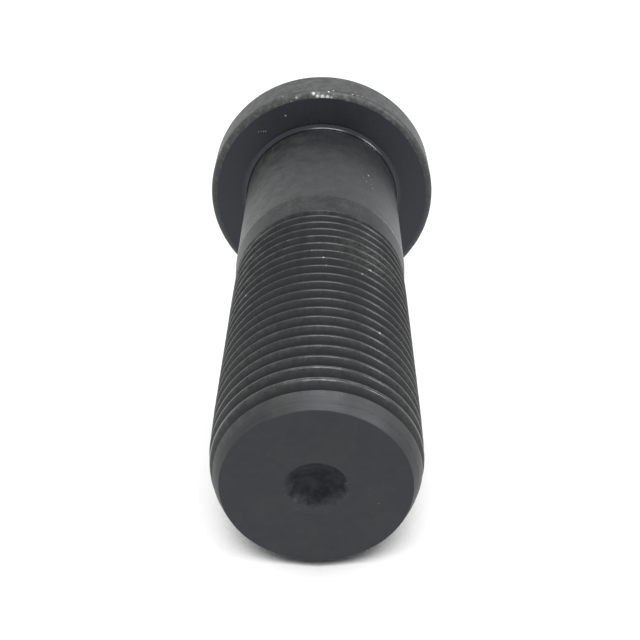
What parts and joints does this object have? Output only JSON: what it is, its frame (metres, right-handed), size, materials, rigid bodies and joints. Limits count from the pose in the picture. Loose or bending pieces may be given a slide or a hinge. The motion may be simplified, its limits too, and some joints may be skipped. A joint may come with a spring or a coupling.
{
  "type": "wheel stud",
  "caption": "One-piece wheel stud with a plain round head, a smooth shank, a short tapered neck and a long fine thread with a crowned end.",
  "frame": {"origin": "centre of the head's flat outer face, which the stud stands on", "axes": "+Z along the stud's axis, from the head towards the threaded end; X and Y are free, as the stud is round"},
  "size_m": [0.0274, 0.0274, 0.06],
  "materials": {
    "black_steel": "black oxide, satin, worn bright in places along the rim of the head"
  },
  "bodies": {
    "root": {"stud": "black_steel"}
  },
  "joints": []
}
